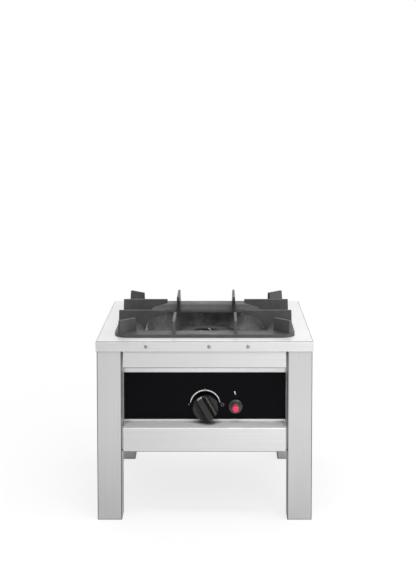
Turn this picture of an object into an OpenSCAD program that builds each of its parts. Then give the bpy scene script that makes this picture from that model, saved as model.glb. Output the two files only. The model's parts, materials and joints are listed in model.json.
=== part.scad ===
// Stockpot stove: a low square gas stove of stainless sheet on four legs.
// X runs across the front, the controls face -Y, and Z = 0 is the floor under the legs.

/* [Body] */
// Width of the top plate
body_w = 580; // [574:1:640]
// Depth of the top plate
body_d = 580; // [574:1:640]
// Height of the top surface above the floor
top_z = 486; // [460:1:560]

/* [Top plate] */
// Sheet thickness of the top plate
top_t = 1.5; // [1:0.1:2]
// Outer radius of the fold round the top
top_fold_r = 3; // [2.5:0.1:5]
// Height of the folded lip
lip_h = 27; // [24:1:34]
// How far the lip stands out past the legs
lip_over = 2.5; // [2.2:0.1:4]
// Width of the top's rim round the opening
rim_w = 87.5; // [84:0.5:92]
// Corner radius of the opening
opening_r = 38; // [12:1:42]
// Depth of the collar folded down round the opening
collar_h = 6; // [4:1:10]

/* [Legs and rails] */
// Side of a square leg
leg_w = 65.5; // [56:0.5:67]
// Outer corner radius of a leg
leg_r = 3; // [2.5:0.5:10]
// Wall of a leg
leg_t = 1.5; // [1.2:0.1:2]
// Height of the plug in a leg's foot
plug_h = 18; // [12:1:30]
// Sheet thickness of rails and panels
rail_t = 1.2; // [1:0.1:1.5]
// Outer fold radius of rails and panels
rail_r = 2.5; // [2:0.1:4]
// Gap between the end of a rail's face and the leg
rail_gap = 5; // [2:0.5:8]
// Gap between the end of a side panel's face and the leg
side_gap = 0.8; // [0.5:0.1:3]
// Height of the upper rail's face, from under the top plate
upper_rail_h = 71; // [55:1:80]
// Height of the lower rail's face
lower_rail_h = 65; // [45:1:75]
// Height of the ledge in front of the controls
ledge_z = 251; // [235:1:262]
// Depth of the short flanges
flange_d = 22; // [16:1:26]
// Depth of the flange that turns down behind the ledge
ledge_drop = 12; // [9:1:16]

/* [Control panel] */
// Bare steel between the end of the black fascia and the leg
fascia_side = 1.5; // [1:0.5:20]
// Height of the black fascia
fascia_h = 129; // [110:1:136]
// Thickness of the black fascia
fascia_t = 1.5; // [1:0.1:2.5]
// Bare steel below the fascia
fascia_margin = 6; // [3:1:10]
// Sideways place of the knob
knob_x = 2; // [-8:1:8]
// Height of the knob and the igniter above the ledge
knob_rise = 42; // [40:1:50]
// Sideways place of the igniter
igniter_x = 83.5; // [75:0.5:110]

/* [Knob] */
// Diameter of the knob
knob_d = 70; // [60:1:74]
// Depth of the knob's round skirt
knob_skirt = 16; // [12:1:20]
// How far the grip stands out of the skirt
knob_grip = 21; // [16:1:24]
// Width of the grip
grip_w = 16; // [12:1:22]
// Angle of the grip from upright, towards the left
grip_tilt = 30; // [0:5:60]
// How far the knob pushes in
knob_push = 4.5; // [3:0.5:4.5]
// Diameter of the spindle
spindle_d = 8; // [7:0.5:9]

/* [Igniter] */
// Diameter of the push button
button_d = 16.3; // [12:0.1:17]
// Diameter of the igniter's barrel
barrel_d = 20; // [19:0.5:22]
// Diameter of the bezel
bezel_d = 38; // [32:1:42]
// Thickness of the bezel
bezel_t = 8; // [6:0.5:10]
// How far the barrel stands out of the bezel
barrel_out = 8; // [4:0.5:10]
// How far the button stands out of the bezel
button_out = 25; // [20:1:30]
// How far the button pushes in
button_push = 6; // [4:0.5:7]

/* [Burner well] */
// Distance of the well's walls from the planes of the legs' inner faces
well_side = 13; // [10:0.5:16]
// Corner radius of the well
well_r = 28; // [20:1:40]
// Fold radius between the well's wall and floor
well_fold = 10; // [6:1:16]
// Depth of the well's floor below the top surface
well_depth = 85; // [78:1:95]
// Sheet thickness of the well
well_t = 1; // [0.8:0.1:1.2]
// Diameter of the hole in the well's floor
well_hole_d = 150; // [140:1:160]

/* [Burner] */
// Outer diameter of the outer burner ring
outer_ring_d = 240; // [220:1:260]
// Outer diameter of the inner burner ring
inner_ring_d = 152; // [140:1:160]
// Width of the outer ring's chamber
outer_chamber_w = 24; // [20:1:28]
// Width of the inner ring's chamber
inner_chamber_w = 42; // [38:1:46]
// Height of the gas chambers
chamber_h = 22; // [18:1:26]
// How far the outer ring lies below the inner ring
ring_step = 8; // [4:1:9]
// Wall of the burner castings
cast_t = 4; // [3:0.5:5]
// Height of the slotted crowns
crown_h = 14; // [12:1:18]
// Flame slots round the outer crown
outer_slots = 48; // [24:4:60]
// Flame slots round the inner crown
inner_slots = 32; // [20:4:40]
// Width of a flame slot
slot_w = 2.4; // [1.6:0.2:3]
// Height of the burner's feet
foot_h = 14; // [10:1:20]
// Bore of the mixing tube at its throat
tube_bore = 30; // [24:1:32]
// Bore of the mixing tube at its mouth
mouth_bore = 44; // [38:1:46]
// Distance of the tube's axis below the well's floor
tube_drop = 34; // [32:1:40]

/* [Gas line] */
// Outer diameter of the supply pipe
supply_d = 12; // [10:0.5:14]
// Outer diameter of the burner pipe
feed_d = 8; // [6:0.5:10]
// Wall of the pipes
pipe_t = 1; // [0.8:0.1:1.2]
// Outer diameter of the inlet thread
inlet_d = 20.955; // [13.157, 16.662, 20.955]
// Length of the inlet thread
inlet_len = 16; // [12:1:20]
// Distance of the gas inlet from the right-hand legs
inlet_side = 42; // [34:0.5:74]
// Height of the gas inlet above the ledge
inlet_rise = 42; // [40:1:60]

/* [Pan support] */
// How far the pan support lies over the top plate
support_over = 42.5; // [36:0.5:56]
// Outer corner radius of the pan support
support_r = 40; // [30:1:60]
// Thickness of the cast flange
support_t = 9; // [7:0.5:11]
// Distance of the rolled skirt's inner face from the edge of the opening
skirt_set = 29.5; // [26:0.5:37]
// Inner radius of the skirt's roll
roll_r = 14; // [10:1:16]
// Height of the fins above the top plate
fin_h = 44.4; // [38:0.1:60]
// Distance of a fin's tip from the middle
fin_tip = 114; // [95:1:130]
// Distance of the side fins from the middle
fin_place = 84; // [60:1:110]
// Thickness of a fin at its top
fin_top_t = 6.6; // [5:0.2:9]
// Thickness of a fin at its root
fin_root_t = 12; // [9:0.5:15]

/* [Fasteners] */
// Thread diameter of the casing screws
screw_d = 5; // [4:0.5:6]
// Head diameter of the casing screws
screw_head_d = 9; // [8:0.5:11]
// Height of the casing screws' heads
screw_head_h = 2.6; // [2:0.1:3.4]
// Places of the lip screws along the lip
lip_screw_1 = -156; // [-180:1:-60]
// Place of the middle lip screw
lip_screw_2 = 12; // [-40:1:40]
// Place of the right lip screw
lip_screw_3 = 116; // [60:1:180]
// Depth of the lip screws below the top surface
lip_screw_drop = 14; // [10:1:18]

/* [Hidden] */
$fn = 48;

// Clearances: faces that only meet, parts that pass, turning fits and sliding fits
seat_gap = 0.2;
pass_gap = 0.3;
turn_gap = 0.05;
slide_gap = 0.1;
// Spare length of a cutting shape beyond the face that it cuts
cut = 1;

half_w = body_w / 2;
half_d = body_d / 2;
opening_x = half_w - rim_w;
opening_y = half_d - rim_w;
under_top = top_z - top_t;
leg_h = top_z - top_t - top_fold_r;
leg_cx = half_w - lip_over - leg_w / 2;
leg_cy = half_d - lip_over - leg_w / 2;
leg_in_x = leg_cx - leg_w / 2;
leg_in_y = leg_cy - leg_w / 2;
front_y = -half_d + lip_over;
panel_y = -leg_in_y;
panel_back = panel_y + rail_t;
fascia_y = panel_y - fascia_t;
casing_low = ledge_z - lower_rail_h;
fascia_z = ledge_z + fascia_margin;
fascia_w = 2 * (leg_in_x - fascia_side);
knob_z = ledge_z + knob_rise;
screw_hole_r = screw_d / 2 + pass_gap;
lip_screw_xs = [lip_screw_1, lip_screw_2, lip_screw_3];
lip_screw_z = top_z - lip_screw_drop;

panel_half = half_w - lip_over - flange_d - 6;
panel_low = ledge_z - ledge_drop - rail_r;
panel_screw_x = (leg_in_x + panel_half) / 2;
panel_screw_z = [ledge_z + 24, under_top - 50];
ledge_screw_x = leg_in_x * 2 / 3;
ledge_screw_z = ledge_z - ledge_drop / 2 - rail_t;

well_x = leg_in_x - well_side;
well_y = leg_in_y - well_side;
well_floor = top_z - well_depth;
well_under = well_floor - well_t;
well_flange = well_side - rail_t - pass_gap;
foot_r = (outer_ring_d - outer_chamber_w) / 2;
chamber_z = well_floor + foot_h;
crown_z = chamber_z + chamber_h;
outer_h = chamber_h - ring_step;
arm_w = 26;
tube_z = well_under - tube_drop;
tube_y = -(inner_ring_d - inner_chamber_w) / 2;
foot_d = 18;
mouth_rim = 3;
shutter_t = 2;
neck_len = 7;
nose_len = 14;
nose_r = 5;
jet_r = 0.9;
injector_flats = 15;
injector_hex = 9;
injector_y = -(well_y - 34);
mouth_y = injector_y + nose_len;
bolt_d = 6;
bolt_grip = 10;
bolt_flats = 10;
bolt_head_h = 4;

tap_r = 16;
cover_t = 3;
tap_flange_t = 5;
tap_front = panel_back + cover_t;
tap_back = tap_front + 43;
magnet_r = 11;
magnet_len = 30;
magnet_flats = 15;
magnet_nut_len = 8;
boss_wall = 3.2;
port_r = 1.6;
plug_r = 9;
plug_len = 27;
plug_front = tap_front + pass_gap;
spindle_back = plug_front + 8;
spring_len = 11;
feed_y = tap_front + 14;
supply_y = tap_front + 35;
feed_boss_z = knob_z + 20;
supply_boss_z = knob_z - 21;
feed_bend = 14;
supply_bend = 15;
pipe_nut_len = 10;
supply_z = supply_boss_z - supply_bend - pipe_nut_len - cut;
inlet_x = leg_in_x - inlet_side;
inlet_z = ledge_z + inlet_rise;
inlet_body_len = 22;
inlet_socket_len = 9;
knob_back = fascia_y - knob_push - 1;
knob_face = knob_back - knob_skirt;
grip_face = knob_face - knob_grip;
spindle_front = grip_face + 9;
injector_r = 6;

barrel_back = panel_back + 52;
button_tip = fascia_y - bezel_t - button_out;
button_back = panel_back + 12;
igniter_nut_t = 6;
terminal_len = 8;

probe_y = 8;
probe_r = 3.5;
collar_r = 5;
tip_r = 1;
sensor_r = 2.4;
lead_r = 1.5;
spark_x = 14;
probe_z = chamber_z - 18;
spark_lead_z = knob_z + 27;
lead_back_y = barrel_back + 50;

lip_screw_len = 10;
panel_screw_len = 8;
tap_screw_x = 18;
tap_screw_d = 4;
tap_head_r = 3.6;
tap_head_h = 2.2;
tap_window_r = tap_screw_x + tap_head_r + pass_gap;
bracket_screw_x = 16;
bracket_screw_y = -9;
bracket_t = 2;
bracket_under = well_under - seat_gap - bracket_t;
bracket_flats = 8;
bracket_head_h = 3;
inlet_shank_r = inlet_d / 2 + 0.6;
inlet_flats = inlet_d + 6;
inlet_nut_t = 6;
support_x = opening_x + support_over;
support_y = opening_y + support_over;
fin_drop = 11.3;
fin_lean = 1.5;
knee_set = 14;
knee_z = 20.3;
corner_len = 58;

// Rectangle with round corners, centred
module round_rect(w, d, r) {
    square([w - 2 * r, d], center = true);
    square([w, d - 2 * r], center = true);
    for (sx = [-1, 1], sy = [-1, 1])
        translate([sx * (w / 2 - r), sy * (d / 2 - r)]) circle(r);
}

// Section of a block whose two left corners are folded to a radius
module folded_block(h, depth, r) {
    translate([r, 0]) square([depth - r, h]);
    translate([0, r]) square([depth, h - 2 * r]);
    for (y = [r, h - r]) translate([r, y]) circle(r);
}

// Section of a sheet channel: its face stands at x = 0 and its flanges run to the right
module channel_section(h, top_d, low_d) {
    depth = max(top_d, low_d);
    difference() {
        folded_block(h, depth, rail_r);
        translate([rail_t, rail_t]) folded_block(h - 2 * rail_t, depth, rail_r - rail_t);
        if (top_d < depth) translate([top_d, h - rail_t - cut]) square([depth, rail_t + 2 * cut]);
        if (low_d < depth) translate([low_d, -cut]) square([depth, rail_t + 2 * cut]);
    }
}

// Turns a section so that it is extruded along X, with its x along Y
module along_x(len) {
    translate([-len / 2, 0, 0]) rotate([90, 0, 90]) linear_extrude(len) children();
}

// A cylinder on the Y axis that starts at y0
module rod_y(r, y0, len) {
    translate([0, y0, 0]) rotate([-90, 0, 0]) cylinder(r = r, h = len);
}

// A hexagon prism on the Y axis, by its width across flats
module hex_y(flats, y0, len) {
    translate([0, y0, 0]) rotate([-90, 0, 0]) hex_z(flats, len);
}

// A hexagon prism on the Z axis, by its width across flats
module hex_z(flats, h) {
    cylinder(d = flats / cos(30), h = h, $fn = 6);
}

// A hexagon nut on the Z axis
module nut_z(flats, bore, h) {
    difference() {
        hex_z(flats, h);
        translate([0, 0, -cut]) cylinder(r = bore / 2 + seat_gap, h = h + 2 * cut);
    }
}

// A body of revolution about the Y axis; the profile is drawn as (radius, y)
module lathe_y() {
    rotate([-90, 0, 0]) rotate_extrude() children();
}

// Sweeps a section round a rectangle with round corners; the section's x starts at the corner's axis
module rect_sweep(half_x, half_y, r) {
    for (q = [0 : 3]) {
        a = (q % 2 == 0 ? half_x : half_y) - r;
        b = (q % 2 == 0 ? half_y : half_x) - r;
        rotate(90 * q) translate([a, b, 0]) {
            rotate_extrude(angle = 90) children();
            rotate([90, 0, 0]) linear_extrude(2 * b) children();
        }
    }
}

function cross3(a, b) = [a[1] * b[2] - a[2] * b[1], a[2] * b[0] - a[0] * b[2], a[0] * b[1] - a[1] * b[0]];
function unit(v) = v / norm(v);
function frame_matrix(x, y, z, p) = [
    [x[0], y[0], z[0], p[0]], [x[1], y[1], z[1], p[1]], [x[2], y[2], z[2], p[2]], [0, 0, 0, 1]
];

// A rod of radius r along points that turn by right angles, with bends of radius bend
module bent_rod(points, bend, r) {
    last = len(points) - 1;
    for (i = [0 : last - 1]) {
        d = unit(points[i + 1] - points[i]);
        side = [d[1], d[2], d[0]];
        start = points[i] + d * (i > 0 ? bend : 0);
        run = norm(points[i + 1] - start) - (i < last - 1 ? bend : 0);
        multmatrix(frame_matrix(side, cross3(d, side), d, start)) cylinder(r = r, h = run);
    }
    if (last > 1) for (i = [1 : last - 1]) {
        along = unit(points[i] - points[i - 1]);
        away = unit(points[i + 1] - points[i]);
        centre = points[i] + (away - along) * bend;
        multmatrix(frame_matrix(-away, along, cross3(-away, along), centre))
            rotate_extrude(angle = 90) translate([bend, 0]) circle(r);
    }
}

// A pipe along points, open at both ends
module bent_pipe(points, bend, r, wall) {
    difference() {
        bent_rod(points, bend, r);
        bent_rod(points, bend, r - wall);
    }
}

// Pan-head screw on the Y axis: the head's seat is at y = 0 and the shank runs to +Y
module screw_y(len) {
    rod_y(screw_d / 2, -0.4, len + 0.4);
    difference() {
        intersection() {
            rod_y(screw_head_d / 2, -screw_head_h, screw_head_h);
            translate([0, screw_head_d - screw_head_h, 0]) sphere(r = screw_head_d);
        }
        hex_y(screw_d * 0.6, -screw_head_h - cut, cut + screw_head_h / 2);
    }
}

// Section of the folded top, seen from one side
module top_section(w, h, r) {
    translate([-w / 2, 0]) square([w, h - r]);
    translate([-w / 2 + r, 0]) square([w - 2 * r, h]);
    for (s = [-1, 1]) translate([s * (w / 2 - r), h - r]) circle(r);
}

// A block with its top edges folded to a radius and its corners mitred
module folded_top(w, d, h, r) {
    intersection() {
        along_x(w) top_section(d, h, r);
        rotate(90) along_x(d) top_section(w, h, r);
    }
}

module top_plate() {
    color("gainsboro") difference() {
        union() {
            difference() {
                translate([0, 0, top_z - lip_h]) folded_top(body_w, body_d, lip_h, top_fold_r);
                translate([0, 0, top_z - lip_h - cut])
                    folded_top(body_w - 2 * top_t, body_d - 2 * top_t, lip_h + cut - top_t,
                        top_fold_r - top_t);
            }
            translate([0, 0, under_top - collar_h]) linear_extrude(collar_h + top_t / 2)
                round_rect(2 * (opening_x + top_t), 2 * (opening_y + top_t), opening_r + top_t);
        }
        translate([0, 0, under_top - collar_h - cut]) linear_extrude(collar_h + top_t + 2 * cut)
            round_rect(2 * opening_x, 2 * opening_y, opening_r);
        for (x = lip_screw_xs, s = [0, 180]) rotate(s) translate([x, 0, lip_screw_z])
            rod_y(screw_hole_r, -half_d - cut, 2 * cut + top_t);
    }
}

module leg(sx, sy) {
    color("silver") difference() {
        translate([sx * leg_cx, sy * leg_cy, 0]) linear_extrude(leg_h) difference() {
            round_rect(leg_w, leg_w, leg_r);
            round_rect(leg_w - 2 * leg_t, leg_w - 2 * leg_t, leg_r - leg_t);
        }
        for (z = panel_screw_z) translate([sx * panel_screw_x, sy * leg_in_y, z])
            rotate([0, 0, sy < 0 ? 180 : 0]) rod_y(screw_hole_r, -cut, leg_t + 2 * cut);
    }
}

module leg_front_left() { leg(-1, -1); }
module leg_front_right() { leg(1, -1); }
module leg_rear_left() { leg(-1, 1); }
module leg_rear_right() { leg(1, 1); }

module leg_plugs() {
    plug_w = leg_w - 2 * leg_t - 2 * seat_gap;
    plug_wall = 3;
    color("dimgray") for (sx = [-1, 1], sy = [-1, 1]) translate([sx * leg_cx, sy * leg_cy, 0])
        difference() {
            linear_extrude(plug_h) round_rect(plug_w, plug_w, leg_r - leg_t - seat_gap);
            translate([0, 0, plug_wall]) linear_extrude(plug_h)
                round_rect(plug_w - 2 * plug_wall, plug_w - 2 * plug_wall, 2);
        }
}

// A rail between two legs; its tabs run past the face's ends to the legs
module rail(span, gap, face_h, top_d, low_d, tab_top, tab_low) {
    tab_len = 2 * (span - seat_gap);
    tab_y = 10;
    along_x(2 * (span - gap)) channel_section(face_h, top_d, low_d);
    if (tab_top) translate([-tab_len / 2, tab_y, face_h - rail_t]) cube([tab_len, top_d - tab_y, rail_t]);
    if (tab_low) translate([-tab_len / 2, tab_y, 0]) cube([tab_len, low_d - tab_y, rail_t]);
}

module upper_rail() {
    color("gainsboro") difference() {
        translate([0, front_y, under_top - upper_rail_h])
            rail(leg_in_x, rail_gap, upper_rail_h, leg_w - seat_gap, flange_d, true, false);
        for (x = lip_screw_xs) translate([x, 0, lip_screw_z])
            rod_y(screw_hole_r, front_y - cut, 2 * cut + rail_t);
    }
}

module lower_rail() {
    ledge_d = leg_w - seat_gap;
    ledge_len = 2 * (leg_in_x - rail_gap);
    color("gainsboro") difference() {
        translate([0, front_y, casing_low]) union() {
            rail(leg_in_x, rail_gap, lower_rail_h, ledge_d, flange_d, false, true);
            translate([-ledge_len / 2, ledge_d - rail_t, lower_rail_h - ledge_drop])
                cube([ledge_len, rail_t, ledge_drop]);
        }
        for (s = [-1, 1]) translate([s * ledge_screw_x, 0, ledge_screw_z])
            rod_y(screw_hole_r, panel_y - rail_t - cut, 2 * cut + rail_t);
    }
}

module upper_front_rail() { upper_rail(); }
module lower_front_rail() { lower_rail(); }
module upper_rear_rail() { rotate(180) upper_rail(); }
module lower_rear_rail() { rotate(180) lower_rail(); }

module side_panel() {
    side_h = under_top - casing_low;
    color("gainsboro") rotate(90) translate([0, -half_w + lip_over, casing_low])
        rail(leg_in_y, side_gap, side_h, flange_d, flange_d, true, true);
}

module right_side_panel() { side_panel(); }
module left_side_panel() { rotate(180) side_panel(); }

// Flat panel that stands behind a pair of legs, up to the top plate
module back_plate() {
    plate_h = under_top - seat_gap - panel_low;
    translate([-panel_half, panel_y, panel_low]) cube([2 * panel_half, rail_t, plate_h]);
}

// Cutting rod for a round hole through such a panel
module panel_hole(r) {
    rod_y(r, panel_y - cut, 2 * cut + rail_t);
}

module panel_screw_holes() {
    for (s = [-1, 1]) {
        for (z = panel_screw_z) translate([s * panel_screw_x, 0, z]) panel_hole(screw_hole_r);
        translate([s * ledge_screw_x, 0, ledge_screw_z]) panel_hole(screw_hole_r);
    }
}

module control_panel() {
    color("gainsboro") difference() {
        back_plate();
        panel_screw_holes();
        translate([knob_x, 0, knob_z]) {
            panel_hole(spindle_d / 2 + 2);
            for (s = [-1, 1]) translate([s * tap_screw_x, 0, 0]) panel_hole(tap_screw_d / 2 + pass_gap);
        }
        translate([igniter_x, 0, knob_z]) panel_hole(barrel_d / 2 + pass_gap);
    }
}

module rear_panel() {
    color("gainsboro") rotate(180) difference() {
        back_plate();
        panel_screw_holes();
        translate([-inlet_x, 0, inlet_z]) panel_hole(inlet_shank_r + pass_gap);
    }
}

module fascia() {
    color([0.08, 0.07, 0.09]) difference() {
        translate([-fascia_w / 2, fascia_y, fascia_z]) cube([fascia_w, fascia_t, fascia_h]);
        translate([knob_x, 0, knob_z]) rod_y(tap_window_r, fascia_y - cut, 2 * cut + fascia_t);
        translate([igniter_x, 0, knob_z])
            rod_y(barrel_d / 2 + pass_gap, fascia_y - cut, 2 * cut + fascia_t);
    }
}

// Cutting cylinder for a hole through the well's floor
module well_hole(r) {
    translate([0, 0, well_under - cut]) cylinder(r = r, h = well_t + 2 * cut);
}

// Well: flange under the top plate, walls, a rounded fold and the floor
module burner_well() {
    flange_z = under_top - seat_gap;
    wall_h = flange_z - well_floor;
    color("lightgray") difference() {
        union() {
            rect_sweep(well_x, well_y, well_r) translate([well_r, 0]) union() {
                translate([0, well_floor + well_fold]) square([well_t, wall_h - well_fold]);
                translate([0, flange_z - well_t]) square([well_flange, well_t]);
                translate([-well_fold, well_floor + well_fold]) difference() {
                    circle(well_fold + well_t);
                    circle(well_fold);
                    translate([-2 * well_fold, -2 * well_fold]) square([2 * well_fold, 4 * well_fold]);
                    translate([-2 * well_fold, 0]) square(4 * well_fold);
                }
            }
            translate([0, 0, well_under]) linear_extrude(well_t)
                round_rect(2 * (well_x - well_fold), 2 * (well_y - well_fold), well_r - well_fold);
        }
        well_hole(well_hole_d / 2);
        for (a = [0 : 3]) rotate(45 + 90 * a) translate([foot_r, 0, 0])
            well_hole(bolt_d / 2 + pass_gap);
        for (s = [-1, 1]) translate([knob_x + s * bracket_screw_x, injector_y + bracket_screw_y, 0])
            well_hole(screw_hole_r);
    }
}

// Section of an open ring channel between two radii
module trough_section(r_in, r_out, h) {
    difference() {
        translate([r_in, 0]) square([r_out - r_in, h]);
        translate([r_in + cast_t, cast_t]) square([r_out - r_in - 2 * cast_t, h]);
    }
}

// Casting of the burner: two ring chambers, four arms, four feet, and the mixing tube with its elbow
module burner_body() {
    outer_r = outer_ring_d / 2;
    inner_r = inner_ring_d / 2;
    outer_in = outer_r - outer_chamber_w;
    inner_in = inner_r - inner_chamber_w;
    elbow_r = tube_bore / 2 + cast_t;
    arm_x = inner_r - cast_t;
    arm_len = outer_in + cast_t - arm_x;
    arm_h = outer_h - 1;
    mouth_r = mouth_bore / 2 + cast_t;
    rim_y = mouth_y + 8;
    bell_y = rim_y + cast_t;
    throat_y = mouth_y + 50;
    color([0.28, 0.28, 0.29]) difference() {
        union() {
            translate([0, 0, chamber_z]) rotate_extrude($fn = 96) {
                trough_section(outer_in, outer_r, outer_h);
                trough_section(inner_in, inner_r, chamber_h);
            }
            for (a = [0 : 3]) rotate(45 + 90 * a) {
                translate([arm_x, -arm_w / 2, chamber_z]) cube([arm_len, arm_w, arm_h]);
                translate([foot_r, 0, well_floor])
                    cylinder(d1 = foot_d, d2 = foot_d + cast_t, h = foot_h + cast_t);
            }
            translate([knob_x, tube_y, tube_z]) cylinder(r = elbow_r, h = chamber_z - tube_z + cast_t);
            translate([knob_x, tube_y, tube_z]) sphere(r = elbow_r);
            translate([knob_x, 0, tube_z]) lathe_y() polygon([
                [0, mouth_y], [mouth_r + mouth_rim, mouth_y], [mouth_r + mouth_rim, rim_y],
                [mouth_r, bell_y], [elbow_r, throat_y], [elbow_r, tube_y], [0, tube_y]
            ]);
        }
        for (a = [0 : 3]) rotate(45 + 90 * a) {
            translate([arm_x - cut, -arm_w / 2 + cast_t, chamber_z + cast_t])
                cube([arm_len + 2 * cut, arm_w - 2 * cast_t, arm_h - 2 * cast_t]);
            translate([foot_r, 0, well_floor - cut])
                cylinder(r = bolt_d / 2 + slide_gap, h = bolt_grip + 2 * cut);
        }
        translate([knob_x, tube_y, tube_z]) cylinder(d = tube_bore, h = chamber_z - tube_z + cast_t + cut);
        translate([knob_x, tube_y, tube_z]) sphere(d = tube_bore);
        translate([knob_x, 0, tube_z]) lathe_y() polygon([
            [0, mouth_y - cut], [mouth_bore / 2, mouth_y - cut], [mouth_bore / 2, rim_y],
            [tube_bore / 2, throat_y], [tube_bore / 2, tube_y], [0, tube_y]
        ]);
    }
}

// Slotted crown over a ring chamber: a flat ring on two walls, each sawn by radial flame slots
module crown(r_in, r_out, slots) {
    width = r_out - r_in;
    lip = 2;
    lip_t = 3;
    bevel = 5;
    wall = cast_t - 0.5;
    slot_low = 3;
    difference() {
        rotate_extrude($fn = 96) difference() {
            union() {
                translate([r_in, 0]) square([width, crown_h]);
                translate([r_in - lip, crown_h - bevel]) square([width + 2 * lip, lip_t]);
                translate([r_in, crown_h - lip_t])
                    polygon([[0, 0], [width, 0], [width - bevel, bevel], [bevel, bevel]]);
            }
            translate([r_in + wall, -cut]) square([width - 2 * wall, crown_h - cast_t + cut]);
        }
        for (i = [0 : slots - 1], x = [r_in - lip - cut, r_out - wall - cut])
            rotate((i + 0.5) * 360 / slots) translate([x, -slot_w / 2, slot_low])
                cube([wall + lip + 2 * cut, slot_w, crown_h]);
    }
}

module outer_crown() {
    color([0.2, 0.2, 0.21]) translate([0, 0, crown_z - ring_step])
        crown(outer_ring_d / 2 - outer_chamber_w, outer_ring_d / 2, outer_slots);
}

module inner_crown() {
    color([0.2, 0.2, 0.21]) translate([0, 0, crown_z])
        crown(inner_ring_d / 2 - inner_chamber_w, inner_ring_d / 2, inner_slots);
}

module burner_bolts() {
    color("silver") for (a = [0 : 3]) rotate(45 + 90 * a) translate([foot_r, 0, 0]) {
        translate([0, 0, well_under - bolt_head_h]) hex_z(bolt_flats, bolt_head_h);
        translate([0, 0, well_under - cut]) cylinder(d = bolt_d, h = bolt_grip + well_t);
    }
}

// Disc with three windows that sets the air at the tube's mouth
module air_shutter() {
    disc_r = mouth_bore / 2 + cast_t + mouth_rim;
    disc_y = mouth_y - seat_gap - shutter_t;
    window_r = 5;
    color("silver") translate([knob_x, 0, tube_z]) difference() {
        rod_y(disc_r, disc_y, shutter_t);
        rod_y(injector_r + 2, disc_y - cut, shutter_t + 2 * cut);
        for (a = [0, 120, 240]) rotate([0, a, 0]) translate([(injector_r + disc_r) / 2 + 1, 0, 0])
            rod_y(window_r, disc_y - cut, shutter_t + 2 * cut);
    }
}

// Angle under the well's floor that holds the injector in line with the tube
module injector_bracket() {
    w = 48;
    low = tube_z - 16;
    flange = -2 * bracket_screw_y;
    color("silver") translate([knob_x, injector_y, 0]) difference() {
        union() {
            translate([-w / 2, 0, low]) cube([w, bracket_t, well_under - seat_gap - low]);
            translate([-w / 2, -flange, bracket_under]) cube([w, flange + bracket_t, bracket_t]);
        }
        translate([0, 0, tube_z]) rod_y(injector_r + seat_gap, -cut, bracket_t + 2 * cut);
        for (s = [-1, 1]) translate([s * bracket_screw_x, bracket_screw_y, bracket_under - cut])
            cylinder(r = screw_hole_r, h = bracket_t + 2 * cut);
    }
}

module bracket_screws() {
    color("silver") for (s = [-1, 1])
        translate([knob_x + s * bracket_screw_x, injector_y + bracket_screw_y, 0]) {
            translate([0, 0, bracket_under - bracket_head_h]) hex_z(bracket_flats, bracket_head_h);
            translate([0, 0, bracket_under - cut]) cylinder(d = screw_d, h = bracket_t + well_t + 3);
        }
}

// Brass injector: hexagon behind the bracket, a neck through it and a drilled nose
module injector() {
    color([0.8, 0.66, 0.36]) translate([knob_x, injector_y, tube_z]) difference() {
        union() {
            hex_y(injector_flats, -injector_hex, injector_hex - seat_gap);
            rod_y(injector_r, -cut, neck_len + cut);
            lathe_y() polygon([
                [0, neck_len - cut], [nose_r, neck_len - cut], [nose_r, nose_len - 4],
                [nose_r - 2, nose_len], [0, nose_len]
            ]);
        }
        rod_y(feed_d / 2 - pipe_t, -injector_hex - cut, 2 * injector_hex);
        rod_y(jet_r, 0, nose_len + cut);
    }
}

// Outline of the tap's front flange, with an ear for each screw
module tap_flange() {
    ear_r = 6;
    round_rect(2 * (tap_screw_x + ear_r), 2 * tap_r - 4, ear_r);
}

// Brass gas tap: barrel, rear magnet housing, inlet boss below and outlet boss above
module tap_body() {
    color([0.78, 0.66, 0.42]) translate([knob_x, 0, 0]) difference() {
        union() {
            translate([0, 0, knob_z]) {
                rod_y(tap_r, tap_front + seat_gap, tap_back - tap_front - seat_gap);
                rotate([-90, 0, 0]) translate([0, 0, tap_front + seat_gap])
                    linear_extrude(tap_flange_t) tap_flange();
                rod_y(magnet_r, tap_back - cut, magnet_len + cut);
                hex_y(magnet_flats, tap_back + magnet_len - cut, magnet_nut_len + cut);
            }
            translate([0, supply_y, supply_boss_z])
                cylinder(r = supply_d / 2 + boss_wall, h = knob_z - supply_boss_z);
            translate([0, feed_y, knob_z]) cylinder(r = feed_d / 2 + boss_wall, h = feed_boss_z - knob_z);
        }
        translate([0, 0, knob_z])
            rod_y(plug_r + turn_gap, tap_front - cut, plug_len + pass_gap + 2 * cut);
        translate([0, supply_y, supply_boss_z - cut])
            cylinder(r = supply_d / 2 - pipe_t, h = knob_z - supply_boss_z);
        translate([0, feed_y, knob_z]) cylinder(r = feed_d / 2 - pipe_t, h = feed_boss_z - knob_z + cut);
        translate([0, 0, knob_z]) rod_y(lead_r + pass_gap, tap_back + magnet_len, magnet_nut_len + cut);
        for (s = [-1, 1]) translate([s * tap_screw_x, 0, knob_z])
            rod_y(tap_screw_d / 2 + slide_gap, tap_front - cut, tap_flange_t + 2 * cut);
    }
}

// Plate that closes the tap's barrel and bolts it to the panel
module tap_cover() {
    color("silver") translate([knob_x, 0, knob_z]) difference() {
        rotate([-90, 0, 0]) translate([0, 0, panel_back + seat_gap])
            linear_extrude(cover_t - seat_gap) tap_flange();
        rod_y(spindle_d / 2 + pass_gap, panel_back, cover_t + cut);
        for (s = [-1, 1]) translate([s * tap_screw_x, 0, 0])
            rod_y(tap_screw_d / 2 + slide_gap, panel_back, cover_t + cut);
    }
}

// Plug that turns in the tap's barrel, with its gas port and the spindle's socket
module tap_plug() {
    color([0.82, 0.7, 0.45]) translate([knob_x, 0, knob_z]) difference() {
        rod_y(plug_r, plug_front, plug_len);
        rod_y(spindle_d / 2 + slide_gap, plug_front - cut, spindle_back - plug_front + spring_len + cut);
        translate([0, feed_y, -plug_r - cut]) cylinder(r = port_r, h = 2 * plug_r + 2 * cut);
    }
}

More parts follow.
